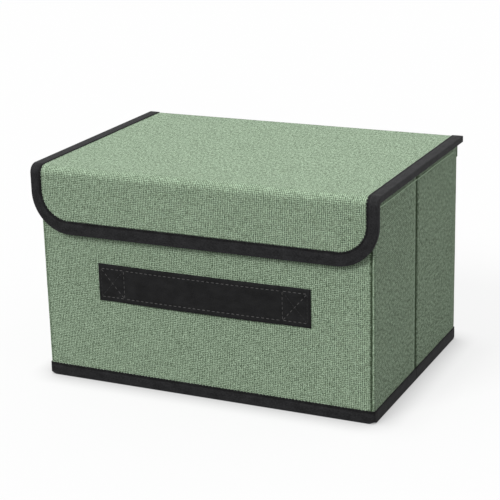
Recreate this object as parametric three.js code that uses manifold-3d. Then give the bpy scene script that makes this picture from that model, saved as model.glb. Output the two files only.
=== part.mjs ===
// Foldable storage box of cloth over boards, with a hinged lid, a hanging front flap and a strap handle.
// Lengths are millimetres. X runs across the front, Y runs from front to back and Z is up.
// The origin is the middle of the underside, and the front faces -Y.
//
// The four walls fold flat against the back wall. Each side wall is two halves with a crease between them.
// The hinge lines at the four corners lie on the walls' inner faces and the creases lie on their outer faces,
// so the front wall travels straight back and the halves close face to face.

import * as THREE from "three";
import { mergeVertices } from "three/addons/utils/BufferGeometryUtils.js";
import Module from "manifold-3d";

const wasm = await Module();
wasm.setup();

// Box, measured over the outer cloth
const boxWidth = 270;
const boxDepth = 188;
const boxHeight = 170;
const cornerRadius = 2.5;

// Cloth, boards and tape
const outerCloth = 0.75;
const liningCloth = 0.5;
const baseCloth = 0.5;
const wallBoard = 2;
const lidBoard = 2.5;
const flapBoard = 1.5;
const baseBoard = 1.5;
const tapeThickness = 0.5;

// Clearances
const seamGap = 0.25;
const lidRestGap = 0.25;
const foldClearance = 0.5;
const creaseOffset = 0.125;
const creaseHalfWidth = 1;
const baseSetback = 1;

// How far every cut runs past the piece that it cuts
const cutOverrun = 20;

// Lid and flap
const lidOverhang = 4;
const lidBindingWidth = 8;
const lidHingeLap = 12;
const frontFoldRadius = 6.5;
const flapStandoff = 1.5;
const flapDrop = 52;
const flapCornerRadius = 31;
const flapBindingWidth = 10;

// Binding round the foot of the box
const bottomBindingHeight = 10;

// Strap handle
const strapLength = 174;
const strapWidth = 29.5;
const strapThickness = 1.5;
const strapBelowFlap = 21;

// Steps in each quarter turn of a rounded corner
const cornerSteps = 8;

// Levels and faces that the pieces share
const wallThickness = outerCloth + wallBoard + liningCloth;
const lidThickness = outerCloth + lidBoard + liningCloth;
const flapThickness = outerCloth + flapBoard + liningCloth;
const baseThickness = baseBoard + 2 * (baseCloth + seamGap);
const tapeReach = seamGap + tapeThickness;
const baseFoot = outerCloth + seamGap;
const panelFoot = baseFoot + baseThickness + foldClearance;
const hemTop = panelFoot - seamGap;
const panelTop = boxHeight - lidThickness - tapeReach - lidRestGap;
const halfWidth = boxWidth / 2;
const halfDepth = boxDepth / 2;
const innerHalfWidth = halfWidth - wallThickness;
const innerHalfDepth = halfDepth - wallThickness;

// The folded base stands between the back wall and the folded side walls, so the side walls hinge clear of it
const baseHingeY = innerHalfDepth - foldClearance;
const rearHingeY = baseHingeY - 2 * (baseThickness + creaseOffset) - foldClearance;
const frontHingeY = -(innerHalfDepth - foldClearance);
const sideCreaseY = (rearHingeY + frontHingeY) / 2;

const linen = new THREE.MeshStandardMaterial({ color: 0x84947c, roughness: 0.95, metalness: 0 });
const lining = new THREE.MeshStandardMaterial({ color: 0xb9bcb2, roughness: 0.95, metalness: 0 });
const board = new THREE.MeshStandardMaterial({ color: 0xb09a78, roughness: 0.9, metalness: 0 });
const tape = new THREE.MeshStandardMaterial({ color: 0x2d2d2e, roughness: 0.9, metalness: 0 });
const webbing = new THREE.MeshStandardMaterial({ color: 0x303031, roughness: 0.85, metalness: 0 });

const box = new THREE.Group();

const axisX = new THREE.Vector3(1, 0, 0);
const axisY = new THREE.Vector3(0, 1, 0);
const axisZ = new THREE.Vector3(0, 0, 1);

function addPiece(parent, name, geometry, material) {
  const mesh = new THREE.Mesh(geometry, material);
  mesh.name = name;
  parent.add(mesh);
}

function addFrame(x, y, z, turn) {
  const frame = new THREE.Group();
  frame.position.set(x, y, z);
  frame.rotation.z = turn;
  box.add(frame);
  return frame;
}

// A block between two limits on each axis, so that blocks with a limit in common share a plane
function block([x0, x1], [y0, y1], [z0, z1]) {
  const geometry = new THREE.BoxGeometry(x1 - x0, y1 - y0, z1 - z0);
  const corners = geometry.getAttribute("position");
  for (let i = 0; i < corners.count; i += 1) {
    const x = corners.getX(i) < 0 ? x0 : x1;
    const y = corners.getY(i) < 0 ? y0 : y1;
    const z = corners.getZ(i) < 0 ? z0 : z1;
    corners.setXYZ(i, x, y, z);
  }
  return geometry;
}

// A flat outline drawn out along the axis that is square to its two own axes
function drawnOut(outline, [from, to], acrossAxis, upAxis) {
  const outAxis = new THREE.Vector3().crossVectors(acrossAxis, upAxis);
  const geometry = new THREE.ExtrudeGeometry(outline, {
    depth: to - from,
    curveSegments: cornerSteps,
    bevelEnabled: false,
  });
  geometry.translate(0, 0, from);
  geometry.applyMatrix4(new THREE.Matrix4().makeBasis(acrossAxis, upAxis, outAxis));
  return geometry;
}

function solidOf(geometry) {
  const bare = geometry.clone();
  bare.deleteAttribute("normal");
  bare.deleteAttribute("uv");
  const merged = mergeVertices(bare);
  const mesh = new wasm.Mesh({
    numProp: 3,
    vertProperties: merged.getAttribute("position").array,
    triVerts: new Uint32Array(merged.getIndex().array),
  });
  return new wasm.Manifold(mesh);
}

// The first geometry with the others cut out of it
function cutFrom(geometry, ...tools) {
  let solid = solidOf(geometry);
  for (const tool of tools) {
    solid = solid.subtract(solidOf(tool));
  }
  const mesh = solid.getMesh();
  const result = new THREE.BufferGeometry();
  result.setAttribute("position", new THREE.BufferAttribute(mesh.vertProperties, 3));
  result.setIndex(new THREE.BufferAttribute(mesh.triVerts, 1));
  result.computeVertexNormals();
  return result;
}

// Walls. In a wall's own frame X runs along it, Y runs inwards from its outer face and Z is up.
const frontFrame = addFrame(0, -halfDepth, 0, 0);
const backFrame = addFrame(0, halfDepth, 0, Math.PI);

// The outer cloth is turned over the top edge of the board and the lining
function addPanel(frame, name, along) {
  const boardFace = outerCloth + wallBoard;
  const underCloth = [panelFoot, panelTop - outerCloth];
  const cloth = new THREE.Shape();
  cloth.moveTo(0, panelFoot);
  cloth.lineTo(outerCloth, panelFoot);
  cloth.lineTo(outerCloth, panelTop - outerCloth);
  cloth.lineTo(wallThickness, panelTop - outerCloth);
  cloth.lineTo(wallThickness, panelTop);
  cloth.lineTo(0, panelTop);
  cloth.closePath();
  addPiece(frame, `${name}_cloth`, drawnOut(cloth, along, axisY, axisZ), linen);
  addPiece(frame, `${name}_board`, block(along, [outerCloth, boardFace], underCloth), board);
  addPiece(frame, `${name}_lining`, block(along, [boardFace, wallThickness], underCloth), lining);
}

// The hem under a side panel with the tape folded up over its outer face
function addSideBinding(frame, name, along) {
  const outline = new THREE.Shape();
  outline.moveTo(-tapeReach, 0);
  outline.lineTo(wallThickness, 0);
  outline.lineTo(wallThickness, hemTop);
  outline.lineTo(-seamGap, hemTop);
  outline.lineTo(-seamGap, bottomBindingHeight);
  outline.lineTo(-tapeReach, bottomBindingHeight);
  outline.closePath();
  addPiece(frame, name, drawnOut(outline, along, axisY, axisZ), tape);
}

// The same hem and tape under the front or back wall, carried round both of its corner webs
function addEndBinding(frame, name, webDepth) {
  const outside = halfWidth + tapeReach;
  const inside = halfWidth + seamGap;
  const pastWeb = webDepth + cutOverrun;
  const pastTop = bottomBindingHeight + cutOverrun;
  const whole = block([-outside, outside], [-tapeReach, webDepth], [0, bottomBindingHeight]);
  const aboveHem = block([-inside, inside], [-seamGap, pastWeb], [hemTop, pastTop]);
  const interior = block([-innerHalfWidth, innerHalfWidth], [wallThickness, pastWeb], [-cutOverrun, pastTop]);
  addPiece(frame, name, cutFrom(whole, aboveHem, interior), tape);
}

// The cloth web at a corner, from the wall's outer face in to the side wall's hinge line
function addCornerWeb(name, sideSign, outerY, innerY) {
  const outerX = sideSign * halfWidth;
  const innerX = sideSign * innerHalfWidth;
  const inwards = Math.sign(innerY - outerY);
  const outline = new THREE.Shape();
  outline.moveTo(innerX, outerY);
  outline.lineTo(outerX - sideSign * cornerRadius, outerY);
  outline.quadraticCurveTo(outerX, outerY, outerX, outerY + inwards * cornerRadius);
  outline.lineTo(outerX, innerY);
  outline.lineTo(innerX, innerY);
  outline.closePath();
  addPiece(box, name, drawnOut(outline, [panelFoot, panelTop], axisX, axisY), linen);
}

const endPanelHalf = innerHalfWidth - seamGap;
addPanel(frontFrame, "front_wall", [-endPanelHalf, endPanelHalf]);
addEndBinding(frontFrame, "front_wall_binding", halfDepth + frontHingeY - seamGap);
addPanel(backFrame, "back_wall", [-endPanelHalf, endPanelHalf]);
addEndBinding(backFrame, "back_wall_binding", halfDepth - rearHingeY - seamGap);

const sides = [
  { side: "right", sign: 1 },
  { side: "left", sign: -1 },
];
for (const { side, sign } of sides) {
  const frame = addFrame(sign * halfWidth, 0, 0, (sign * Math.PI) / 2);
  const along = (front, rear) => (sign > 0 ? [front, rear] : [-rear, -front]);
  const frontHalf = along(frontHingeY + seamGap, sideCreaseY - creaseHalfWidth);
  const rearHalf = along(sideCreaseY + creaseHalfWidth, rearHingeY - seamGap);
  const creaseReach = creaseHalfWidth - seamGap;
  const crease = along(sideCreaseY - creaseReach, sideCreaseY + creaseReach);
  addPanel(frame, `${side}_side_front`, frontHalf);
  addSideBinding(frame, `${side}_side_front_binding`, frontHalf);
  addPanel(frame, `${side}_side_rear`, rearHalf);
  addSideBinding(frame, `${side}_side_rear_binding`, rearHalf);
  addPiece(frame, `${side}_crease_hinge`, block(crease, [0, outerCloth], [panelFoot, panelTop]), linen);
  addCornerWeb(`front_${side}_corner_web`, sign, -halfDepth, frontHingeY - seamGap);
  addCornerWeb(`rear_${side}_corner_web`, sign, halfDepth, rearHingeY + seamGap);
}

// Strap handle, sewn flat to the front wall at both ends
const strapHalf = strapLength / 2;
const strapTop = boxHeight - flapDrop - strapBelowFlap;
const strapLayer = [-(seamGap + strapThickness), -seamGap];
const strap = block([-strapHalf, strapHalf], strapLayer, [strapTop - strapWidth, strapTop]);
addPiece(frontFrame, "strap_handle", strap, webbing);

// Cloth hinge, sewn to the back wall and reaching up over the lid's back edge
const hingeCloth = block([-halfWidth, halfWidth], [-outerCloth, 0], [panelTop - lidHingeLap, boxHeight]);
addPiece(backFrame, "lid_hinge_cloth", hingeCloth, linen);

// Bottom cloth, sewn into the hems of the four walls
const bottomHalfWidth = innerHalfWidth - seamGap;
const bottomHalfDepth = innerHalfDepth - seamGap;
const bottomAcross = [-bottomHalfWidth, bottomHalfWidth];
const bottomAlong = [-bottomHalfDepth, bottomHalfDepth];
addPiece(box, "bottom_cloth", block(bottomAcross, bottomAlong, [0, outerCloth]), linen);

// Base insert. Two boards in cloth sleeves lie on the bottom cloth and tent up at the crease between them.
const baseFrontY = -(innerHalfDepth - baseSetback);
const baseCreaseY = (baseHingeY + baseFrontY) / 2;
const baseHalfWidth = innerHalfWidth - baseSetback;
const baseFrame = addFrame(0, 0, baseFoot, 0);

// The sleeve is open at the crease, where its board is slid in
function addBaseHalf(name, outerEnd, creaseEnd) {
  const towardsCrease = Math.sign(creaseEnd - outerEnd);
  const span = (a, b) => [Math.min(a, b), Math.max(a, b)];
  const inset = baseCloth + seamGap;
  const sleeve = block([-baseHalfWidth, baseHalfWidth], span(outerEnd, creaseEnd), [0, baseThickness]);
  const pocketHalf = baseHalfWidth - baseCloth;
  const pocket = block(
    [-pocketHalf, pocketHalf],
    span(outerEnd + towardsCrease * baseCloth, creaseEnd + towardsCrease * cutOverrun),
    [baseCloth, baseThickness - baseCloth],
  );
  const boardHalf = baseHalfWidth - inset;
  const boardEnds = span(outerEnd + towardsCrease * inset, creaseEnd - towardsCrease * seamGap);
  const stiffener = block([-boardHalf, boardHalf], boardEnds, [inset, baseThickness - inset]);
  addPiece(baseFrame, `${name}_cover`, cutFrom(sleeve, pocket), lining);
  addPiece(baseFrame, `${name}_board`, stiffener, board);
}

addBaseHalf("base_rear", baseHingeY - seamGap, baseCreaseY + creaseHalfWidth);
addBaseHalf("base_front", baseFrontY, baseCreaseY - creaseHalfWidth);
const baseCreaseReach = creaseHalfWidth - seamGap;
const baseCreaseCloth = block(
  [-baseHalfWidth, baseHalfWidth],
  [baseCreaseY - baseCreaseReach, baseCreaseY + baseCreaseReach],
  [0, baseCloth],
);
addPiece(baseFrame, "base_crease_hinge", baseCreaseCloth, lining);

// Lid, drawn from its hinge line along the top of the back edge.
// Its front runs over into the flap by a soft fold.
const lidFrame = addFrame(0, halfDepth, boxHeight, 0);
const lidHalfWidth = halfWidth + lidOverhang;
const flapInnerY = -(boxDepth + flapStandoff);
const flapOuterY = flapInnerY - flapThickness;
const foldBackY = flapOuterY + frontFoldRadius;
const lidAcross = [-lidHalfWidth, lidHalfWidth];
const lidAlong = [foldBackY + seamGap, -seamGap];
const lidBoardFoot = -(outerCloth + lidBoard);
addPiece(lidFrame, "lid_cloth", block(lidAcross, lidAlong, [-outerCloth, 0]), linen);
addPiece(lidFrame, "lid_board", block(lidAcross, lidAlong, [lidBoardFoot, -outerCloth]), board);
addPiece(lidFrame, "lid_lining", block(lidAcross, lidAlong, [-lidThickness, lidBoardFoot]), lining);

// Tape folded over the lid's edge, above and below
function addLidBinding(name, sign) {
  const edge = lidHalfWidth;
  const inner = edge - lidBindingWidth + tapeReach;
  const above = [seamGap, tapeReach];
  const below = [-lidThickness - seamGap, -lidThickness - tapeReach];
  const outline = new THREE.Shape();
  outline.moveTo(sign * inner, above[1]);
  outline.lineTo(sign * (edge + tapeReach), above[1]);
  outline.lineTo(sign * (edge + tapeReach), below[1]);
  outline.lineTo(sign * inner, below[1]);
  outline.lineTo(sign * inner, below[0]);
  outline.lineTo(sign * (edge + seamGap), below[0]);
  outline.lineTo(sign * (edge + seamGap), above[0]);
  outline.lineTo(sign * inner, above[0]);
  outline.closePath();
  addPiece(lidFrame, name, drawnOut(outline, [-lidAlong[1], -lidAlong[0]], axisX, axisZ), tape);
}

addLidBinding("lid_right_binding", 1);
addLidBinding("lid_left_binding", -1);

const fold = new THREE.Shape();
fold.moveTo(foldBackY, -lidThickness);
fold.lineTo(foldBackY, 0);
fold.absarc(foldBackY, -frontFoldRadius, frontFoldRadius, Math.PI / 2, Math.PI, false);
fold.lineTo(flapInnerY, -frontFoldRadius);
fold.lineTo(flapInnerY, -lidThickness);
fold.closePath();
addPiece(lidFrame, "lid_front_fold", drawnOut(fold, lidAcross, axisY, axisZ), linen);

// Flap, drawn from its hinge line, which is the inner corner of the fold
const flapFrame = addFrame(0, halfDepth + flapInnerY, boxHeight - lidThickness, 0);
const flapTop = lidThickness - frontFoldRadius - seamGap;
const flapFoot = lidThickness - flapDrop + tapeReach;

function flapOutline(growth, top) {
  const side = lidHalfWidth + growth;
  const foot = flapFoot - growth;
  const radius = flapCornerRadius + growth;
  const outline = new THREE.Shape();
  outline.moveTo(side, top);
  outline.lineTo(-side, top);
  outline.absarc(-side + radius, foot + radius, radius, Math.PI, 1.5 * Math.PI, false);
  outline.absarc(side - radius, foot + radius, radius, 1.5 * Math.PI, 2 * Math.PI, false);
  outline.closePath();
  return outline;
}

// A layer of the flap between two distances out from its inner face
function flapLayer(growth, top, [inner, outer]) {
  return drawnOut(flapOutline(growth, top), [inner, outer], axisX, axisZ);
}

const flapBoardFace = liningCloth + flapBoard;
addPiece(flapFrame, "flap_lining", flapLayer(0, flapTop, [0, liningCloth]), lining);
addPiece(flapFrame, "flap_board", flapLayer(0, flapTop, [liningCloth, flapBoardFace]), board);
addPiece(flapFrame, "flap_cloth", flapLayer(0, flapTop, [flapBoardFace, flapThickness]), linen);

// Tape folded over the flap's sides and foot, in front and behind
const flapTape = flapLayer(tapeReach, flapTop, [-tapeReach, flapThickness + tapeReach]);
const flapRoom = flapLayer(seamGap, flapTop + cutOverrun, [-seamGap, flapThickness + seamGap]);
const flapWindow = flapLayer(tapeReach - flapBindingWidth, flapTop + cutOverrun, [-cutOverrun, cutOverrun]);
addPiece(flapFrame, "flap_binding", cutFrom(flapTape, flapRoom, flapWindow), tape);

export default box;
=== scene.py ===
# Foldable fabric storage box: linen cloth over boards, black binding tape, a sewn strap handle.
# Shapes are worked out in millimetres and put into the meshes in metres.
# X runs across the front, Y from the front to the back and Z is up.

import math

import bpy
import numpy as np
from mathutils import Matrix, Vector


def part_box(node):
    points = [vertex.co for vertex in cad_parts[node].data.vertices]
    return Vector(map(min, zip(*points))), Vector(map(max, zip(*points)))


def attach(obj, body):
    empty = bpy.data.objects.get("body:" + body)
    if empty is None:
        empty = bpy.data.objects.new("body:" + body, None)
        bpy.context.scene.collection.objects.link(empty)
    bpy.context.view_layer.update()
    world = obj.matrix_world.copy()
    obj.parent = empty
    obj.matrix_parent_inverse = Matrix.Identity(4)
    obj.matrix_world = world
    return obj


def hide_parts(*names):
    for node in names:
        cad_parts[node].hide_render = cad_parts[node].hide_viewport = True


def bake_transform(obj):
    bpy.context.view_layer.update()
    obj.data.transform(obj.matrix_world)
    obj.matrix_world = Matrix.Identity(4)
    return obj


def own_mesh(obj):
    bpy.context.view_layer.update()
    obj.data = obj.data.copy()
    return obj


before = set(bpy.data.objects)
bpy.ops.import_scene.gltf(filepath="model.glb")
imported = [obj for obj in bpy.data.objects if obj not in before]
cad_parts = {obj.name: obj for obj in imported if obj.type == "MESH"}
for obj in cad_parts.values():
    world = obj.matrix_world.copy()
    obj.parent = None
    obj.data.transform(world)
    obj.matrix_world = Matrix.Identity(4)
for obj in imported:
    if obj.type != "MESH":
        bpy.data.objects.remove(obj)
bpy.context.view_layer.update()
print("frame loaded")

toMetres = 0.001
quarter = math.pi / 2
facing = {"right": 1, "left": -1}  # the side walls, each with its sign of X


def span(node):
    # lowest and highest corner of a CAD node, in millimetres
    low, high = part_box(node)
    return np.array(low) / toMetres, np.array(high) / toMetres


class Value:
    # a socket that arithmetic can be written on; each expression adds its Math node
    def __init__(self, shade, socket):
        self.shade, self.socket = shade, socket

    def maths(self, operation, first, second):
        # the Math node that does one operation on two values or numbers
        return self.shade.add("ShaderNodeMath", {0: first, 1: second}, operation=operation)

    __add__ = __radd__ = lambda self, other: self.maths("ADD", self, other)
    __sub__ = lambda self, other: self.maths("SUBTRACT", self, other)
    __rsub__ = lambda self, other: self.maths("SUBTRACT", other, self)
    __mul__ = __rmul__ = lambda self, other: self.maths("MULTIPLY", self, other)
    __pow__ = lambda self, other: self.maths("POWER", self, other)


class Shade:
    # the nodes of one material, or of the world
    def __init__(self, block):
        self.block = block
        block.use_nodes = True
        self.tree = block.node_tree
        self.tree.nodes.clear()

    def add(self, kind, inputs, out=0, **settings):
        # any node: its settings first, then the values or links of its sockets
        node = self.tree.nodes.new(kind)
        for key, value in settings.items():
            setattr(node, key, value)
        for key, value in inputs.items():
            if isinstance(value, Value):
                self.tree.links.new(value.socket, node.inputs[key])
            else:
                node.inputs[key].default_value = value
        return Value(self, node.outputs[out]) if len(node.outputs) else None

    def mix(self, factor, first, second):
        # two colours mixed by a factor
        inputs = {0: factor, 6: first, 7: second}
        return self.add("ShaderNodeMix", inputs, 2, data_type="RGBA", clamp_factor=True)

    def noise(self, vector, scale, detail, roughness):
        # noise about nought, from a half below to a half above, each axis with its own scale
        where = self.add("ShaderNodeVectorMath", {0: vector, 1: scale}, operation="MULTIPLY")
        inputs = {"Vector": where, "Scale": 1.0, "Detail": detail, "Roughness": roughness}
        return self.add("ShaderNodeTexNoise", inputs) - 0.5

    def ripple(self, value, pitch):
        # sine of a length, once for every pitch
        return self.add("ShaderNodeMath", {0: value * (2 * math.pi / pitch)}, operation="SINE")

    def mark(self, name):
        # the number that the mesh holds for each point under this name
        return self.add("ShaderNodeAttribute", {}, "Fac", attribute_name=name)

    def finish(self, tone, roughness, height, values, **fixed):
        # the surface: dark to light by tone; fixed holds further sockets that are the same all over
        strength, distance = values["bump"]
        normal = self.add("ShaderNodeBump", {"Strength": strength, "Distance": distance, "Height": height})
        surface = self.add("ShaderNodeBsdfPrincipled", {
            "Base Color": self.mix(tone, values["dark"], values["light"]), "Roughness": roughness,
            "Normal": normal, "Specular IOR Level": values["specular"], **fixed})
        self.add("ShaderNodeOutputMaterial", {"Surface": surface})
        return self.block


def clothShade(name):
    # a new material, the cloth's own flat coordinates in metres, and their two parts
    shade = Shade(bpy.data.materials.new(name))
    uv = shade.add("ShaderNodeUVMap", {}, uv_map="threads")
    return shade, uv, *(shade.add("ShaderNodeSeparateXYZ", {0: uv}, out) for out in ("X", "Y"))


def solidShade(name):
    # a new material and the piece's own coordinates in metres
    shade = Shade(bpy.data.materials.new(name))
    return shade, shade.add("ShaderNodeTexCoord", {}, "Object")


# in each finish, tone runs from nought for the dark colour to one for the light one,
# and bump gives the strength and the distance in metres
linen = {
    "dark": (0.055, 0.088, 0.045, 1), "light": (0.560, 0.730, 0.525, 1), "tone": 0.672,
    "threadPitch": 0.00142, "warp": 0.95, "weft": 0.5,
    "slubs": 0.14,  # thicker stretches of thread, both ways
    "speckle": 2.1, "clouds": 0.16, "gaps": 0.95,
    "warpLines": 0.12,  # share of the gaps that run on between the warp threads
    "wander": 0.0007,  # how far threads stray from straight, in metres
    "ragged": 0.0004,  # how far their edges do
    "wear": 0.30, "bump": (0.7, 0.0007), "specular": 0.32,
}


def makeLinen(name, values):
    # tone = a constant + warp + weft + slubs + speckle + coarse x grain + clouds - thread gaps where they cross
    # + the mark of wear and painted light, which holds painted highlights and painted shade
    shade, uv, across, along = clothShade(name)
    warp = shade.noise(uv, (1150, 250, 1), 1.0, 0.6)
    weft = shade.noise(uv, (300, 1150, 1), 1.0, 0.55)
    speckle = shade.noise(uv, (1500, 1400, 1), 0.5, 0.7)
    clouds = shade.noise(uv, (55, 40, 1), 3.0, 0.5)
    grain = shade.noise(uv, (520, 420, 1), 1.5, 0.7)
    slubs = shade.noise(uv, (480, 60, 1), 1.0, 0.5) + shade.noise(uv, (85, 560, 1), 1.0, 0.5) * 1.3

    def gap(place, scale):
        # one between two threads that stray by slow noise, with edges ragged by the speckle
        stray = shade.noise(uv, scale, 2.0, 0.6) * values["wander"]
        return 0.5 - shade.ripple(place + stray + speckle * values["ragged"], values["threadPitch"]) * 0.5

    warpGap, weftGap = gap(across, (170, 28, 1)), gap(along, (28, 170, 1))
    gaps = warpGap * (weftGap * (1 - values["warpLines"]) + values["warpLines"])
    tone = warp * values["warp"] + weft * values["weft"] + slubs * values["slubs"] + speckle * values["speckle"]
    tone = tone + shade.mark("coarse") * grain + clouds * values["clouds"]
    tone = tone - gaps * values["gaps"] + shade.mark("wear") * values["wear"] + values["tone"]
    height = warp * 1.1 + weft * 0.8 + speckle * 1.3 - gaps * 0.5
    sheen = {"Sheen Weight": 0.03, "Sheen Roughness": 0.5}
    return shade.finish(tone, 0.88 + speckle * 0.2, height, values, **sheen)


tapeCloth = {
    "dark": (0.0040, 0.0040, 0.0043, 1), "light": (0.035, 0.035, 0.037, 1), "tone": 0.42, "fibre": 1.7,
    "clouds": 0.9, "wear": 0.3, "ribPitch": 0.0009, "bump": (0.5, 0.00035), "specular": 0.10,
}


def makeTape(name, values):
    # tone = a constant + fine crossed fibres + slow clouds + a faint lengthwise rib + the mark of painted shade
    # and painted highlight across the tape
    shade, uv, across, along = clothShade(name)
    fibre = shade.noise(uv, (700, 1100, 1), 2.0, 0.65)
    clouds = shade.noise(uv, (120, 210, 1), 2.0, 0.5)
    rib = shade.ripple(along, values["ribPitch"])
    tone = values["tone"] + fibre * values["fibre"] + clouds * values["clouds"]
    tone = tone + rib * 0.05 + shade.mark("wear") * values["wear"]
    return shade.finish(tone, 0.66 + fibre * 0.35, fibre + rib * 0.12 + clouds * 0.5, values)


webbing = {
    "dark": (0.0039, 0.0039, 0.0041, 1), "light": (0.029, 0.029, 0.0299, 1), "tone": 0.45, "fibre": 1.1,
    "clouds": 0.8, "twillPitch": 0.0009, "bump": (0.5, 0.0003), "specular": 0.08,
}


def makeWebbing(name, values):
    # tone = a constant + fibres + a faint diagonal twill + clouds
    shade, uv, across, along = clothShade(name)
    fibre = shade.noise(uv, (1300, 1300, 1), 2.0, 0.6)
    clouds = shade.noise(uv, (90, 130, 1), 2.0, 0.5)
    twill = shade.ripple(across + along, values["twillPitch"])
    tone = values["tone"] + fibre * values["fibre"] + twill * 0.08 + clouds * values["clouds"]
    return shade.finish(tone, 0.7 + fibre * 0.4, twill * 0.2 + fibre, values)


liningCloth = {
    "dark": (0.42, 0.43, 0.405, 1), "light": (0.60, 0.61, 0.585, 1), "tone": 0.6, "dimplePitch": 0.0026,
    "dimples": 0.45, "bump": (0.5, 0.0003), "specular": 0.2,
}


def makeLining(name, values):
    # bonded fleece: fibres and clouds, less small pressed dimples where two slanting ripples meet
    shade, uv, across, along = clothShade(name)
    fibre = shade.noise(uv, (420, 700, 1), 3.0, 0.65)
    clouds = shade.noise(uv, (45, 45, 1), 2.0, 0.5)
    pitch = values["dimplePitch"]
    crossed = shade.ripple(across + along, pitch) * shade.ripple(across - along, pitch)
    pressed = ((crossed + 1) * 0.5) ** 4
    tone = values["tone"] + fibre * 0.7 + clouds * 0.5 - pressed * values["dimples"]
    return shade.finish(tone, 0.9 + fibre * 0.1, fibre * 0.35 - pressed, values)


boardFinish = {
    "dark": (0.24, 0.18, 0.11, 1), "light": (0.43, 0.35, 0.245, 1), "pulp": 1.2, "flecks": 0.7,
    "bump": (0.3, 0.0003), "specular": 0.25,
}


def makeBoard(name, values):
    # grey-brown pressed board: a half + long pulp fibres + finer flecks
    shade, place = solidShade(name)
    pulp = shade.noise(place, (260, 260, 60), 3.0, 0.6)
    flecks = shade.noise(place, (900, 900, 700), 1.0, 0.5)
    tone = 0.5 + pulp * values["pulp"] + flecks * values["flecks"]
    return shade.finish(tone, 0.85 + pulp * 0.2, pulp + flecks * 0.4, values)


def makeThread(name, dark, light):
    # sewing thread: a half + fine fibre noise
    shade, place = solidShade(name)
    fibre = shade.noise(place, (2600, 2600, 2600), 2.0, 0.6)
    values = {"dark": dark, "light": light, "bump": (0.5, 0.0001), "specular": 0.35}
    return shade.finish(0.5 + fibre * 1.6, 0.6 + fibre * 0.3, fibre, values)


linenCloth = makeLinen("linenCloth", linen)
bindingTape = makeTape("bindingTape", tapeCloth)
strapWebbing = makeWebbing("strapWebbing", webbing)
paleLining = makeLining("paleLining", liningCloth)
pressedBoard = makeBoard("pressedBoard", boardFinish)
greyThread = makeThread("greyThread", (0.055, 0.054, 0.053, 1), (0.13, 0.128, 0.125, 1))
blackThread = makeThread("blackThread", (0.008, 0.008, 0.008, 1), (0.022, 0.022, 0.023, 1))
greenThread = makeThread("greenThread", (0.16, 0.21, 0.145, 1), (0.33, 0.41, 0.30, 1))
print("materials made")


def grid(*parts):
    # coordinates spread to one shape and put side by side
    return np.stack(np.broadcast_arrays(*parts), -1)


def unit(vectors):
    # the vectors, each divided by its length
    return vectors / np.linalg.norm(vectors, axis=-1, keepdims=True)


def hump(distance, width):
    # a bell: one at nought, 1 / e at the width
    return np.exp(-((distance / width) ** 2))


def arcLength(line):
    # distance along a line of points from its first
    steps = np.linalg.norm(np.diff(line, axis=0), axis=1)
    return np.concatenate([[0], np.cumsum(steps)])


def offsetLine(line, distance):
    # each point of a flat line moved along the line's left normal, by one distance or one for each point
    step = unit(np.gradient(line, axis=0))
    return line + grid(-step[:, 1], step[:, 0]) * np.reshape(distance, (-1, 1))


def arc(centre, radius, start, end, count):
    # points on a circle between two angles
    angle = np.linspace(start, end, count)
    return grid(centre[0] + radius * np.cos(angle), centre[1] + radius * np.sin(angle))


def between(first, second, step):
    # evenly spaced values or points from first to second, at most a step apart
    count = math.ceil(np.linalg.norm(np.subtract(second, first)) / step) + 1
    return np.linspace(first, second, max(2, count))


def isNew(line):
    # true for each point of a line that doesn't repeat the one before it
    return np.concatenate([[True], np.linalg.norm(np.diff(line, axis=0), axis=1) > 1e-6])


def joinLines(*lines):
    # lines end to end, without the points that repeat
    whole = np.concatenate(lines)
    return whole[isNew(whole)]


def slack(a, b, seed):
    # a slow ripple of cloth over a board, from nought to one: crossed sines of uneven lengths
    wave = np.sin(a / 17.3 + seed) * np.sin(b / 23.9 + 2.1 * seed)
    wave = wave + 0.6 * np.sin(a / 7.7 - b / 11.9 + 3.7 * seed) + 0.5 * np.sin(a / 31.0 + b / 14.3 + seed)
    return np.clip(0.5 + wave / 4.2, 0, 1)


def fadeIn(values, low, high, width):
    # nought at both limits, rising smoothly to one within the width
    share = np.clip(np.minimum(values - low, high - values) / width, 0, 1)
    return share * share * (3 - 2 * share)


def rounded(share):
    # height of a quarter circle at a share of its run
    return np.sqrt(np.clip(1 - (1 - share) ** 2, 0, 1))


def swept(x, line):
    # a line of (y, z) carried across the box
    return grid(x, line[:, :1], line[:, 1:])


def addObject(name, data):
    # a new object at the origin
    thing = bpy.data.objects.new(name, data)
    bpy.context.scene.collection.objects.link(thing)
    return thing


def addMesh(name, points, faces, uv, material, sharpAngle, **marks):
    # points in millimetres; uv holds one pair for each point, in metres; each mark one number for each point
    mesh = bpy.data.meshes.new(name)
    mesh.from_pydata((points * toMetres).tolist(), [], faces)
    corner = np.empty(len(mesh.loops), dtype=np.int32)
    mesh.loops.foreach_get("vertex_index", corner)
    layer = mesh.uv_layers.new(name="threads")
    layer.data.foreach_set("uv", np.asarray(uv, dtype=np.float32)[corner].ravel())
    for mark, values in marks.items():
        data = mesh.attributes.new(mark, "FLOAT", "POINT").data
        data.foreach_set("value", np.asarray(values, dtype=np.float32))
    mesh.shade_smooth()
    mesh.set_sharp_from_angle(angle=math.radians(sharpAngle))
    mesh.materials.append(material)
    mesh.update()
    return addObject(name, mesh)


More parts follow.
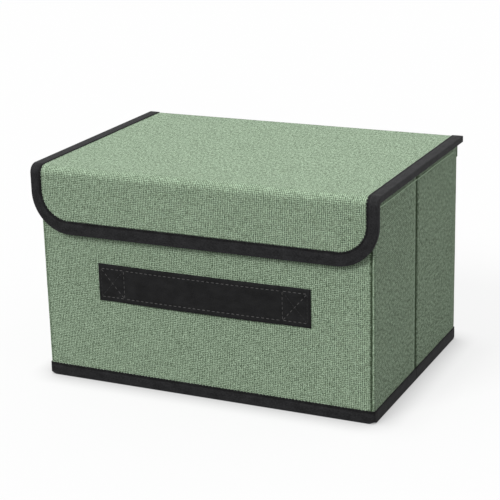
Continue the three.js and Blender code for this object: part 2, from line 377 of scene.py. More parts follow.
def slabFaces(rows, columns):
    # quads of two grids of the same size, joined round their rims into one closed skin
    front, back = np.arange(2 * rows * columns).reshape(2, rows, columns)
    less, more = slice(None, -1), slice(1, None)
    return np.concatenate([grid(*corners).reshape(-1, 4) for corners in (
        (front[less, less], front[less, more], front[more, more], front[more, less]),
        (back[less, less], back[more, less], back[more, more], back[less, more]),
        (front[0, less], back[0, less], back[0, more], front[0, more]),
        (front[-1, less], front[-1, more], back[-1, more], back[-1, less]),
        (front[less, 0], front[more, 0], back[more, 0], back[less, 0]),
        (front[less, -1], back[less, -1], back[more, -1], front[more, -1]),
    )])


def addSlab(name, outer, inner, threads, material, sharpAngle=38, **marks):
    # a closed thick sheet between two grids of points, with its faces turned outwards
    # threads are the cloth's two flat coordinates in millimetres; the mark of wear and painted light lightens
    # it above nought and darkens it below, as painted highlights, painted shade and some rubbed wear; "coarse"
    # strengthens its threads
    shape = outer.shape[:2]
    points = np.concatenate([outer.reshape(-1, 3), inner.reshape(-1, 3)])
    faces = slabFaces(*shape)
    a, b, c, d = points[faces].transpose(1, 0, 2)
    if (a * (np.cross(b, c) + np.cross(c, d))).sum() < 0:  # six times the volume inside
        faces = faces[:, ::-1]
    uv = np.tile((grid(*threads) * toMetres).reshape(-1, 2), (2, 1))
    marks = {mark: np.tile(np.broadcast_to(values, shape).ravel(), 2) for mark, values in marks.items()}
    return addMesh(name, points, faces.tolist(), uv, material, sharpAngle, **marks)


def addStitches(name, row, material, size):
    # row holds centres, tangents and normals; at each centre a low spindle lies along the tangent,
    # with size giving its length, width and height
    rings, sides = 4, 6
    along = np.linspace(0, math.pi, rings + 2)[1:-1, None]
    turn = np.arange(sides) * 2 * math.pi / sides
    swell = np.sin(along) ** 0.6
    ring = grid(-np.cos(along), swell * np.cos(turn), swell * np.sin(turn)).reshape(-1, 3)
    shape = np.concatenate([[[-1, 0, 0]], ring, [[1, 0, 0]]]) * np.array(size) / 2
    last = len(shape) - 1
    faces = []
    for side in range(sides):
        after = (side + 1) % sides
        faces.append((0, 1 + after, 1 + side))
        for base in range(1, 1 + (rings - 1) * sides, sides):
            faces.append((base + side, base + after, base + sides + after, base + sides + side))
        base = 1 + (rings - 1) * sides
        faces.append((last, base + side, base + after))
    centres, tangents, normals = row[0], unit(row[1]), unit(row[2])
    axes = (tangents, np.cross(normals, tangents), normals)
    points = centres[:, None]
    for axis, reach in zip(axes, shape.T):
        points = points + reach[None, :, None] * axis[:, None]
    shifts = range(0, len(centres) * len(shape), len(shape))
    whole = [tuple(corner + shift for corner in face) for shift in shifts for face in faces]
    points = points.reshape(-1, 3)
    return addMesh(name, points, whole, np.zeros((len(points), 2)), material, 80)


def stitchRow(line, normals, pitch):
    # centres, tangents and normals at every pitch along a line of points, which has one normal or one for each
    distance = arcLength(line)
    places = np.arange(pitch / 2, distance[-1], pitch)

    def at(where, values):
        # each column of the values, read off at these distances along the line
        return grid(*(np.interp(where, distance, column) for column in values.T))

    tangents = at(places + 0.1, line) - at(places - 0.1, line)
    return at(places, line), tangents, at(places, np.broadcast_to(normals, line.shape))


def dress(piece, carrier, slot, *nodes):
    # the piece stands for CAD nodes, which are hidden; a body as carrier takes the piece, while two bodies and
    # two places leave it fixed where it stands
    if isinstance(carrier, str):
        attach(piece, carrier)
    else:
        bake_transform(piece)
    if nodes:
        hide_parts(*nodes)


def squash(piece, axis, anchor, keep):
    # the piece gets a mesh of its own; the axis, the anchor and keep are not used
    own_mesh(piece)


# measures that the pieces share, read from the CAD
clothLow, clothHigh = span("front_wall_cloth")
sideLow, sideHigh = span("right_side_front_cloth")
rearLow, rearHigh = span("right_side_rear_cloth")
webLow, webHigh = span("front_right_corner_web")

halfWidth = webHigh[0]
frontY = clothLow[1]
backY = span("back_wall_cloth")[1][1]
faceOf = {-1: frontY, 1: backY}  # outer face of the front and the back wall
wallFoot, wallTop = clothLow[2], clothHigh[2]
wallThickness = clothHigh[1] - clothLow[1]
endHalf = clothHigh[0]
innerHalf = webLow[0]
frontWebY = webHigh[1]
rearWebY = span("rear_right_corner_web")[0][1]
sideFront, sideRear = sideLow[1], rearHigh[1]
creaseFront, creaseRear = sideHigh[1], rearLow[1]
creaseY = (creaseFront + creaseRear) / 2


# walls
wallCloth = {
    "sideCoarse": 1.75,
    "topRadius": 1.3,  # of the turned top edge
    "hemDrop": 9.0,  # how far the cloth goes down inside
    "thickness": 0.68, "hemThickness": 0.45, "gridStep": 3.2,
    "slackHeight": 0.16,  # of the ripple on the flat faces
    "slackFade": 14.0,
    "sideInward": 1.2,  # sets the ripple inwards, as the side walls' faces meet when folded
    "creaseDip": 0.46,  # how far the face draws in beside a crease
    "creaseReach": 4.0, "creaseShade": 2.6,
    "creaseSeamHighlight": 0.9,  # painted highlight: a paler pressed line in front of a crease
    "seamHalf": 0.8, "topWear": 0.5,
}
topHem = {
    # the roll's lighter colour is a painted highlight, and shade darkens the wall just under it as painted
    # shade
    "below": 5.9, "radius": 0.5, "proud": 0.45, "gridStep": 2.5, "wear": 2.6, "shade": 1.1, "folded": 0.12,
}


def wallProfile():
    # up the outer face, over the top edge and down inside: columns of depth inwards and height, the same two of
    # the cloth's back, the distance along, and one on the outer face that falls to nought over the top edge
    values = wallCloth
    radius = values["topRadius"]
    centreZ = wallTop - radius
    line = joinLines(
        between((0, wallFoot), (0, centreZ), values["gridStep"]),
        arc((radius, centreZ), radius, math.pi, quarter, 6),
        between((radius, wallTop), (wallThickness - radius, wallTop), 1.0),
        arc((wallThickness - radius, centreZ), radius, quarter, 0, 6),
        between((wallThickness, centreZ), (wallThickness, wallTop - values["hemDrop"]), 2.0),
    )
    places = [centreZ + radius * 2, centreZ + radius * 4]
    thickness = np.interp(arcLength(line), places, [values["thickness"], values["hemThickness"]])
    columns = np.hsplit(np.hstack([line, offsetLine(line, -thickness)]), 4)
    return *columns, arcLength(line)[:, None] + wallFoot, np.clip(1 - columns[0] / radius, 0, 1)


def onWall(wall, along, depth, height):
    # place of (along the wall, depth inwards, height) on one of the four walls
    if wall in facing:
        return grid(facing[wall] * (halfWidth - depth), along, height)
    return grid(along, frontY + depth if wall == "front" else backY - depth, height)


def roundTheBox(wall, along):
    # distance round the box of a place along a wall, so that threads run on from wall to wall
    if wall in facing:
        return (halfWidth + along - frontY) * facing[wall]
    return along if wall == "front" else 2 * halfWidth + (backY - frontY) - along


def addWallCloth(name, wall, low, high, seed):
    # the profile carried along the wall, raised by a slow ripple on its face, drawn in beside a crease
    values = wallCloth
    depth, height, backDepth, backHeight, run, outside = wallProfile()
    ends = np.array([0.3, 0.8, 1.4, 2.0, 2.7, 3.4, 4.1, 4.8])
    middle = between(low + 6.0, high - 6.0, values["gridStep"])
    along = np.concatenate([[low], low + ends, middle, high - ends[::-1], [high]])
    isSide = wall in facing
    onFace = depth < 0.01
    face = fadeIn(height, wallFoot + 7, wallTop - 5, values["slackFade"]) * onFace
    inward = values["sideInward"] if isSide else 0
    lift = (slack(along, height, seed) - inward) * face * fadeIn(along, low, high, values["slackFade"])
    beside = np.clip(1 - np.abs(along - creaseY) / values["creaseReach"], 0, 1) * isSide
    dip = values["creaseDip"] * beside ** 1.5 * outside / beside.max(initial=0.01) ** 1.5
    outer = onWall(wall, along, depth + dip - lift * values["slackHeight"], height)
    inner = onWall(wall, along, backDepth, backHeight)
    # painted light in the wall cloth's colour: painted shade in and beside the crease and just under the top
    # hem, and a painted highlight on the pressed line in front of the crease; the lighter top edge is rubbed
    # wear
    seam = hump(along - creaseFront + values["creaseReach"], values["seamHalf"]) * isSide * onFace
    shadeUnderHem = hump(height - wallTop + topHem["below"] - 1.3, 0.9) * isSide
    paintedLightAndWear = hump(height - wallTop, 1.5) * values["topWear"] - values["creaseShade"] * beside
    paintedLightAndWear = paintedLightAndWear + values["creaseSeamHighlight"] * seam - topHem["shade"] * shadeUnderHem * onFace
    coarse = values["sideCoarse"] if isSide else 0
    return addSlab(name, outer, inner, (roundTheBox(wall, along), run), linenCloth, wear=paintedLightAndWear, coarse=coarse)


liningSheet = {
    "thickness": 0.42, "gridStep": 5.0, "foot": 0.3, "lap": 1.2, "tuck": 0.25, "sag": 0.1, "fade": 9.0,
}


def addWallLining(name, wall, low, high, seed):
    # a thin rippled sheet against the board, its top edge tucked under the hem
    values = liningSheet
    hemFoot = wallTop - wallCloth["hemDrop"]
    along = between(low, high, values["gridStep"])
    height = between(wallFoot + values["foot"], hemFoot + values["lap"], values["gridStep"])[:, None]
    tuck = np.clip((height - (hemFoot - 2)) / 2, 0, 1) * values["tuck"]
    ripple = slack(along, height, seed) * fadeIn(along, low, high, values["fade"])
    ripple = ripple * fadeIn(height, height[0], height[-1], values["fade"])
    depth = wallThickness - tuck + ripple * values["sag"]
    outer = onWall(wall, along, depth, height)
    inner = onWall(wall, along, depth - values["thickness"] + tuck * 0.6, height)
    return addSlab(name, outer, inner, (roundTheBox(wall, along), height), paleLining)


walls = [
    ("frontWall", "front_wall", "front", -endHalf, endHalf, 0.4),
    ("backWall", "back_wall", "back", -endHalf, endHalf, 1.7),
    ("rightSideFront", "right_side_front", "right", sideFront, creaseFront, 2.9),
    ("rightSideRear", "right_side_rear", "right", creaseRear, sideRear, 4.3),
    ("leftSideFront", "left_side_front", "left", sideFront, creaseFront, 5.1),
    ("leftSideRear", "left_side_rear", "left", creaseRear, sideRear, 6.6),
]
for name, body, *where, seed in walls:
    dress(addWallCloth(f"{name}Cloth", *where, seed), body, "linen_cloth", f"{body}_cloth")
    dress(addWallLining(f"{name}Lining", *where, seed + 1), body, "lining_cloth", f"{body}_lining")
print("walls made")


# corners, and the foot's tape that they meet
footTape = {
    "height": 10.0, "insideHeight": 3.9, "foot": 0.74,
    "cornerRadius": 2.2, "cornerRidge": 0.3, "cornerLift": 1.4,
    "sideFolded": 0.12, "frontFolded": 0.55,  # shares of the tape to keep when the walls fold, handed to squash, which doesn't use them
}
cornerCloth = {
    "radius": 2.4,
    "ridgeHeight": 0.72,  # pinched seam that stands on the corner
    "ridgeHalf": 0.60, "grooveDepth": 1.0,
    "grooveAt": 1.50,  # from the ridge's middle
    "grooveHalf": (0.85, 0.42),  # on the end wall's side, on the side wall's side
    # the grooves' darker colour is painted shade, the ridge's lighter colour a painted highlight with some
    # rubbed wear
    "grooveShare": (1, 0.55), "grooveShade": -3.3, "ridgeHighlightAndWear": 0.9,
    "pressLine": 0.30,  # depth of the pressed line beside the seam
    "gridStep": 3.2, "waver": 0.16,
}


def cornerLines(signY, sideEnd, pressAt, pinch):
    # from the end wall round the right-hand corner to the side wall, in plan; the line is moved out by
    # pinch x (ridge - groove on both its sides) - pressed line
    values = cornerCloth
    radius = values["radius"]
    faceY = faceOf[signY]
    centre = (halfWidth - radius, faceY - signY * radius)
    flat = between((endHalf, faceY), (centre[0], faceY), 0.25)
    turn = arc(centre, radius, signY * quarter, 0, 25)
    line = joinLines(flat, turn, between((halfWidth, centre[1]), (halfWidth, sideEnd), 0.25))
    distance = arcLength(line)
    middle = arcLength(flat)[-1] + radius * quarter / 2
    away = np.abs(distance - middle)
    before = distance < middle
    ridge = hump(away, values["ridgeHalf"])
    groove = hump(away - values["grooveAt"], np.where(before, *values["grooveHalf"]))
    groove = groove * np.where(before, *values["grooveShare"])
    lift = pinch * (values["ridgeHeight"] * ridge - values["grooveDepth"] * groove)
    lift = lift - values["pressLine"] * hump(distance - middle - pressAt, 0.35)
    lift = lift * fadeIn(distance, 0, distance[-1], 0.5)
    # painted highlight with some rubbed wear on the ridge, painted shade in the grooves beside it
    paintedLightAndWear = pinch * (values["ridgeHighlightAndWear"] * ridge + values["grooveShade"] * groove)
    return line, offsetLine(line, lift * signY), distance, paintedLightAndWear


def addCorner(name, signX, signY, sideEnd, innerY, pressAt, pinch):
    # the corner's line stood up over the wall's height and pulled in round the top edge,
    # closed against two straight lines that meet in the inner corner
    line, shaped, distance, paintedLightAndWear = cornerLines(signY, sideEnd, pressAt, pinch)
    share = np.linspace(0, 1, len(line))[:, None]
    faceInner = np.array([endHalf, faceOf[signY] - signY * wallThickness])
    cornerInner = np.array([innerHalf + 0.12, innerY])
    sideInner = np.array([innerHalf, sideEnd])
    inner = np.where(
        share < 0.5,
        faceInner * (1 - 2 * share) + cornerInner * (2 * share),
        cornerInner * (2 - 2 * share) + sideInner * (2 * share - 1),
    )
    radius = wallCloth["topRadius"]
    turn = np.linspace(0, quarter, 6)[1:]
    upright = between(wallFoot, wallTop - radius, cornerCloth["gridStep"])
    height = np.concatenate([upright, wallTop - radius + radius * np.sin(turn)])[:, None]
    pull = np.concatenate([0 * upright, 1 - np.cos(turn)])[:, None, None] * radius
    wander = np.sin(height / 9.1) * 0.6 + np.sin(height / 3.7) * 0.4
    clear = np.clip((height - footTape["height"]) / 1.5, 0, 1)
    outside = line + (shaped - line) * (clear * (1 + cornerCloth["waver"] * wander))[:, None]
    towards = unit(inner - outside)
    outside = outside + towards * pull
    inside = inner - towards * pull * 0.2
    outer, inner = (grid(skin[..., 0] * signX, skin[..., 1], height) for skin in (outside, inside))
    along = roundTheBox("front" if signY < 0 else "back", signX * endHalf) - signX * signY * distance
    return addSlab(name, outer, inner, (along, height), linenCloth, 50, wear=paintedLightAndWear)


# the front left corner is the open one: it rides on the front wall, clear of the side, and is pinched less
frontHinge = (halfWidth, (frontWebY + sideFront) / 2, 0)
frontBend = ("front_wall", "right_side_front", (innerHalf, frontY, 0), frontHinge)
for side, carrier, clear, pinch in (("right", frontBend, 0, 1.0), ("left", "front_wall", 0.25, 0.3)):
    label, sign = side.capitalize(), facing[side]
    corner = addCorner(f"front{label}Corner", sign, -1, sideFront - clear, frontWebY, -3.4, pinch)
    dress(corner, carrier, "linen_cloth", f"front_{side}_corner_web")
    corner = addCorner(f"rear{label}Corner", sign, 1, sideRear, rearWebY, 2.4, 0.55)
    rearBend = ("back_wall", f"{side}_side_rear", (0, rearWebY + 0.35, 0), (0, sideRear - 0.1, 0))
    dress(corner, rearBend, "linen_cloth", f"rear_{side}_corner_web")
print("corners made")


# creases of the side walls
# the crease's darker colour is painted shade, darkest down the middle of its groove
creaseCloth = {"depth": 1.9, "columns": 11, "edgeShade": -2.4, "shade": -3.4}


def addCrease(name, side):
    # the cloth between two half panels: the wall's profile with a rounded groove down its outer face
    values = creaseCloth
    depth, height, backDepth, backHeight, run, outside = wallProfile()
    along = np.linspace(creaseFront, creaseRear, values["columns"])
    middle = np.maximum(np.cos((along - creaseY) / (creaseRear - creaseFront) * math.pi), 0) ** 0.8
    wander = 1 + 0.2 * np.sin(height / 4.3) * np.sin(height / 11)
    edge = wallCloth["creaseDip"]
    dip = (edge + middle * (values["depth"] - edge) * wander) * outside
    outer = onWall(side, along, depth + dip, height)
    inner = onWall(side, along, backDepth + (dip - edge * outside) * 0.85, backHeight)
    # painted shade down the crease's groove
    paintedLightAndWear = values["edgeShade"] + (values["shade"] - values["edgeShade"]) * middle * outside
    return addSlab(name, outer, inner, (roundTheBox(side, along), run), linenCloth, 60, wear=paintedLightAndWear)


for side, sign in facing.items():
    halves = [(f"{side}_side_front", (sign * halfWidth, creaseFront, 0)),
              (f"{side}_side_rear", (sign * halfWidth, creaseRear, 0))]
    (first, start), (second, end) = halves[::-sign]
    bend = (first, second, start, end)
    dress(addCrease(f"{side}SideCrease", side), bend, "linen_cloth", f"{side}_crease_hinge")
    dress(addWallLining(f"{side}CreaseLining", side, creaseFront, creaseRear, 0.0), bend, "lining_cloth")
print("creases made")


def addTopHem(name, side, low, high, seed):
    # a half-round roll along a side wall's top, swelling and straying a little by slow sines
    values = topHem
    along = between(low, high, values["gridStep"])
    turn = np.linspace(-quarter, quarter, 9)[:, None]
    height = wallTop - values["below"] + values["radius"] * np.sin(turn)
    swell = values["proud"] * np.cos(turn) * (0.9 + 0.1 * np.sin(along / 5.3 + seed))
    wander = 0.12 * np.sin(along / 13 + seed)
    outer = onWall(side, along, -swell, height + wander)
    inner = onWall(side, along, 0.15, height + wander)
    threads = (roundTheBox(side, along), height + 1.0)
    # the lighter colour of the roll is a painted highlight
    return addSlab(name, outer, inner, threads, linenCloth, 70, wear=values["wear"])


for name, body, side, *where in walls[2:]:
    hem = addTopHem(f"{name}TopHem", side, *where)
    dress(hem, body, "linen_cloth")
    squash(hem, (1, 0, 0), (facing[side] * halfWidth, 0, 0), topHem["folded"])
print("hems made")


# tape bound over an edge
tapeShape = {
    "proud": 0.72,  # height over the cloth
    "skin": 0.46,  # thickness of the tape
    "rest": 0.04,  # gap left between tape and cloth
    "scallop": 0.34,  # pull of each stitch on the tape's edge
    "pitch": 2.6,  # of the stitches
    "stitch": (1.7, 0.52, 0.5), "stitchHeight": 0.22,
    "stitchOut": 0.05,  # from the tape's edge
    "endDark": 1.6,
    # painted shade along the stitched inner edge, then a painted highlight towards the fold, from the inner
    # edge to the fold
    "wear": (-1.5, -1.2, -0.5, -0.9, -0.9, 0.3, 0.2, 0.2, 0.3, 0.6, 0.9, 1.0, 0.8, 0.5),
    "step": 0.65,  # between stations along the tape
}


def tapeSection():
    # half of the tape's face and back, from its inner edge to the fold, as (share of the leg, outwards, height)
    proud, rest = tapeShape["proud"], tapeShape["rest"]
    low = proud - tapeShape["skin"]
    near = [(0.6, 0.9), (0.25, 0.3), (0, -0.1)]

    def bend(height):
        # round the edge towards the fold: outwards by height x sine, up by height x cosine
        return [(0, height * math.sin(t), height * math.cos(t)) for t in np.linspace(0.25, quarter * 0.98, 5)]

    face = [(1, 0.0, rest + 0.14), (1, 0.12, proud * 0.86), (1, 0.55, proud), (1, 1.05, proud * 0.90),
            (1, 1.55, proud * 0.80), (1, 2.2, proud * 0.96)] + [(*place, proud) for place in near]
    under = [(1, out, rest) for out in (0.05, 0.2, 0.55, 1.05, 1.55, 2.2)]
    under += [(*near[0], rest), (*near[1], rest), (*near[2], low)]
    return face + bend(proud), under + bend(low)


def addTape(name, stations):
    # the section carried along an edge, its inner edge scalloped by the stitches; stations hold the way
    # outwards, the first side's normal and, for each of the edge's two sides, (edge, leg)
    values = tapeShape
    outwards, normal, sides = stations
    distance = arcLength(sides[0][0])
    pulled = values["scallop"] * (0.5 + 0.5 * np.cos(distance / values["pitch"] * 2 * math.pi))

    def surface(section):
        # edge + outwards x (out - leg x share + pull) + normal x height, on one side and then the other
        share, out, height = np.array(section).T[..., None]
        halves = []
        for sign, (edge, leg) in zip((1, -1), sides):
            reach = out - leg * share + pulled * (share == 1) * (out < 0.3)
            halves.append(edge + outwards * reach[..., None] + normal * (sign * height)[..., None])
        return np.concatenate([halves[0], halves[1][::-1]]).transpose(1, 0, 2)

    outer, inner = (surface(section) for section in tapeSection())
    threads = (distance[:, None], arcLength(outer[len(outer) // 2]))
    toEnd = np.minimum(distance, distance[-1] - distance)
    atEnd = np.clip(1 - toEnd / values["endDark"], 0, 1)[:, None]
    # painted shade and highlight across the tape, and darker over its last stretch at each end
    paintedLightAndWear = np.array(values["wear"] + values["wear"][::-1]) - 1.5 * atEnd
    return addSlab(name, outer, inner, threads, bindingTape, 60, wear=paintedLightAndWear)


def sewTape(name, stations, carrier, *nodes):
    # a tape, and a row of stitches on its first side along its inner edge
    values = tapeShape
    tape = addTape(name, stations)
    outwards, normal, ((edge, leg), _) = stations
    line = edge - outwards * (leg + values["stitchOut"])[:, None] + normal * values["stitchHeight"]
    places = stitchRow(line, normal, values["pitch"])
    row = addStitches(f"{name}Stitches", places, blackThread, values["stitch"])
    dress(tape, carrier, "binding_tape", *nodes)
    dress(row, carrier, "binding_tape")
    return tape, row


def footStations(plan, inner, normals, lift):
    # the wall's foot line in plan, its inner line and outward normals, stood at the foot's height plus the lift
    foot = footTape["foot"] + lift
    legs = ((plan, footTape["height"] - foot), (inner, footTape["insideHeight"] - foot))
    sides = [(np.hstack([line, foot[:, None]]), leg) for line, leg in legs]
    return np.array([0, 0, -1.0]), np.hstack([normals, np.zeros((len(plan), 1))]), sides


def endFootStations(signY, stop):
    # round both corners of the front or back wall: flat, quarter turn with a small ridge, flat
    radius, step = footTape["cornerRadius"], tapeShape["step"]
    faceY = faceOf[signY]
    centreX, centreY = halfWidth - radius, faceY - signY * radius
    side = between((halfWidth, stop), (halfWidth, centreY), step)
    right = joinLines(side, arc((centreX, centreY), radius, 0, signY * quarter, 9))
    across = between((centreX, faceY), (-centreX, faceY), step)
    plan = joinLines(right, across, right[::-1] * np.array([-1, 1]))
    tangent = unit(np.gradient(plan, axis=0))
    normals = grid(tangent[:, 1], -tangent[:, 0]) * signY
    diagonal = radius * math.sqrt(0.5)
    away = np.hypot(np.abs(plan[:, 0]) - centreX - diagonal, plan[:, 1] - centreY - signY * diagonal)
    plan = plan + normals * (footTape["cornerRidge"] * hump(away, 0.6))[:, None]
    innerFace = faceY - signY * wallThickness
    innerX = np.clip(plan[:, 0], -innerHalf, innerHalf)
    innerY = np.where(np.abs(plan[:, 0]) > innerHalf, plan[:, 1], innerFace)
    innerY = signY * np.minimum(signY * innerY, signY * innerFace)
    return footStations(plan, grid(innerX, innerY), normals, footTape["cornerLift"] * hump(away, 2.0))


def sideFootStations(sign, low, high):
    # straight along a half panel's foot
    along = between(low, high, tapeShape["step"])
    normals = np.tile([sign * 1.0, 0.0], (len(along), 1))
    return footStations(grid(sign * halfWidth, along), grid(sign * innerHalf, along), normals, 0 * along)


footPieces = [
    ("front", endFootStations(-1, frontWebY + 0.1), "front_wall",
     ((0, 0, 1), (0, 0, footTape["height"]), footTape["frontFolded"])),
    ("back", endFootStations(1, rearWebY - 0.1), "back_wall", None),
]
for side, sign in facing.items():
    fold = ((1, 0, 0), (sign * halfWidth, 0, 0), footTape["sideFolded"])
    front = sideFootStations(sign, sideFront - 0.2, creaseY - 0.12)
    rear = sideFootStations(sign, creaseY + 0.12, sideRear + 0.2)
    footPieces += [(f"{side}Front", front, f"{side}_side_front", fold),
                   (f"{side}Rear", rear, f"{side}_side_rear", fold)]
for name, stations, body, fold in footPieces:
    for piece in sewTape(f"{name}FootTape", stations, body, f"{body}_binding"):
        if fold:
            squash(piece, *fold)
print("foot tape made")


# bottom cloth and base insert
bottomSheet = {"gridStep": 6.0, "thickness": 0.5, "sag": 0.12, "fade": 12.0, "clear": 0.02, "folded": 0.04}
low, high = span("bottom_cloth")
x, y = np.meshgrid(*(between(low[k], high[k], bottomSheet["gridStep"]) for k in (0, 1)))
ripple = slack(x, y, 0.9) * bottomSheet["sag"] * fadeIn(x, low[0], high[0], bottomSheet["fade"])
foot = low[2] + bottomSheet["clear"]
over = grid(x, y, foot + bottomSheet["thickness"] + ripple)
bottom = addSlab("bottomCloth", over, grid(x, y, foot), (x, y), linenCloth)
dress(bottom, "back_wall", "linen_cloth", "bottom_cloth")
squash(bottom, (0, 1, 0), (0, high[1], 0), bottomSheet["folded"])

baseSleeve = {"edge": 1.2, "gridStep": 5.0, "crown": 0.12, "creaseLap": 1.2, "creaseArch": 0.16}


def addBaseCover(name, node, seed):
    # a flat cloth sleeve: top and bottom sheets whose edges round over to meet half way up
    values = baseSleeve
    low, high = span(node)
    turn = values["edge"] * (1 - np.cos(np.linspace(0, quarter, 6)))

    def spaced(first, last):
        # even steps from first to last, but by equal angles of the rounding at both ends
        head, tail = first + turn, (last - turn)[::-1]
        return np.concatenate([head[:-1], between(head[-1], tail[0], values["gridStep"]), tail[1:]])

    def rim(place, first, last):
        # a quarter circle's height over the rounding at both ends, one between them
        return rounded(np.clip(np.minimum(place - first, last - place) / values["edge"], 0, 1))

    x, y = np.meshgrid(spaced(low[0], high[0]), spaced(low[1], high[1]))
    swell = np.minimum(rim(x, low[0], high[0]), rim(y, low[1], high[1]))
    crown = slack(x, y, seed) * values["crown"] * swell
    middle, half = (low[2] + high[2]) / 2, (high[2] - low[2]) / 2
    top = grid(x, y, middle + half * swell * 0.96 + crown * 0.3)
    foot = grid(x, y, middle - half * swell * 0.98)
    return addSlab(name, top, foot, (x, y), paleLining, 60)


dress(addBaseCover("baseRearCover", "base_rear_cover", 3.2), "base_rear", "lining_cloth", "base_rear_cover")
dress(addBaseCover("baseFrontCover", "base_front_cover", 2.2), "base_front", "lining_cloth", "base_front_cover")
low, high = span("base_crease_hinge")
along = np.linspace(low[1] - baseSleeve["creaseLap"], high[1] + baseSleeve["creaseLap"], 9)
x, y = np.meshgrid(between(low[0] + 1.5, high[0] - 1.5, 12.0), along)
share = (y - (low[1] + high[1]) / 2) / (along[-1] - along[0])
arch = baseSleeve["creaseArch"] * np.cos(share * math.pi)
over, under = (grid(x, y, low[2] + rise + arch) for rise in (0.55, 0.08))
baseCrease = addSlab("baseCrease", over, under, (x, y), paleLining)
bend = ("base_rear", "base_front", (0, high[1], 0), (0, low[1], 0))
dress(baseCrease, bend, "lining_cloth", "base_crease_hinge")
print("bottom and base made")


# lid and flap, in one cloth over the front fold
lidHalf, lidBack, lidTop = span("lid_cloth")[1]
lidUnder = span("lid_lining")[0][2]
flapOuterY, flapFoot = span("flap_cloth")[0][1:]
flapInnerY = span("flap_lining")[1][1]
foldBackY = span("lid_front_fold")[1][1]
foldRadius = foldBackY - flapOuterY
foldFootZ = lidTop - foldRadius

lidCloth = {
    "coarse": 1.2,
    "coarseFade": 12.0,  # the threads are finer on the fold and the flap
    "flapRadius": 31.0, "thickness": 0.68, "liningThickness": 0.42, "liningRadius": 1.2,
    "gridStep": 3.0, "slackHeight": 0.28, "slackFade": 16.0,
    "foldSlack": 0.22,  # small puckers over the fold
    "foldReach": 7.0, "hemCrown": 0.2,
}
flapRadius = lidCloth["flapRadius"]


def flapHeights():
    # heights down the flap, by equal angles round its lower corners
    upper = between(foldFootZ, flapFoot + flapRadius, lidCloth["gridStep"])
    turn = np.linspace(0, quarter, 20)[1:]
    return np.concatenate([upper, flapFoot + flapRadius - flapRadius * np.sin(turn)])


def acrossLid(path, flapY, step):
    # places across the lid, and across the flap, which draws in round its lower corners
    below = np.clip(flapFoot + flapRadius - path[:, 1], 0, flapRadius)
    flapHalf = lidHalf - flapRadius + np.sqrt(np.maximum(flapRadius ** 2 - below ** 2, 0))
    half = np.where(path[:, 0] > flapY + 0.01, lidHalf, flapHalf)
    return np.linspace(-1, 1, int(2 * lidHalf / step) | 1) * half[:, None]


def addLidCloth():
    # from the lid's back edge along its top, over the fold and down the flap, raised by slow ripples
    # and, near the fold, by puckers: crossed sines across the box
    values = lidCloth
    path = joinLines(
        between((lidBack, lidTop), (foldBackY, lidTop), values["gridStep"]),
        arc((foldBackY, foldFootZ), foldRadius, quarter, math.pi, 13),
        grid(flapOuterY, flapHeights()),
    )
    inside = offsetLine(path, values["thickness"])
    inside[:, 1] = np.minimum(inside[:, 1], lidTop - values["thickness"])
    travel = arcLength(path)
    x, v = acrossLid(path, flapOuterY, values["gridStep"]), travel[:, None]
    lift = slack(x, v, 1.3) * values["slackHeight"] * fadeIn(x, -lidHalf, lidHalf, values["slackFade"])
    lift = lift * fadeIn(v, 0, travel[-1], values["slackFade"])
    foldAt = np.interp(foldBackY, path[::-1, 0], travel[::-1]) + foldRadius * quarter / 2
    pucker = np.sin(x / 6.1 + 0.8 * np.sin(x / 19)) * np.sin(x / 27 + 1)
    lift = lift + hump(v - foldAt, values["foldReach"]) * values["foldSlack"] * pucker
    normal = unit(np.gradient(path, axis=0))[:, ::-1] * np.array([1, -1])
    outer = grid(x, path[:, :1] + normal[:, :1] * lift, path[:, 1:] + normal[:, 1:] * lift)
    coarse = values["coarse"] * np.clip((foldAt - v) / values["coarseFade"], 0, 1)
    return addSlab("lidAndFlapCloth", outer, swept(x, inside), (x, v + 400.0), linenCloth, coarse=coarse)


def addLidLining():
    # under the lid, round the inside of the fold and down the flap's back
    values = lidCloth
    radius = values["liningRadius"]
    heights = flapHeights()
    path = joinLines(
        between((lidBack, lidUnder), (flapInnerY + radius, lidUnder), values["gridStep"]),
        arc((flapInnerY + radius, lidUnder - radius), radius, quarter, math.pi, 6),
        between((flapInnerY, lidUnder - radius), (flapInnerY, heights[0]), 1.0),
        grid(flapInnerY, heights),
    )
    x = acrossLid(path, flapInnerY, 5.0)
    inner = swept(x, offsetLine(path, -values["liningThickness"]))
    return addSlab("lidAndFlapLining", swept(x, path), inner, (x, arcLength(path)[:, None]), paleLining)


# the lid and the flap, with two places in the fold's lower half; dress leaves the pieces fixed where they stand
lidBend = ("lid", "flap", *((0, foldBackY - back, lidTop - back) for back in (2.5, 5.75)))
dress(addLidCloth(), lidBend, "linen_cloth", "lid_cloth", "lid_front_fold", "flap_cloth")
dress(addLidLining(), lidBend, "lining_cloth", "lid_lining", "flap_lining")

lidTape = {
    "sideLeg": 8.4, "footLeg": 10.0,
    "tabInside": 135.1, "tabOver": 0.62, "tabLap": 0.45, "tabThickness": 0.55,
}


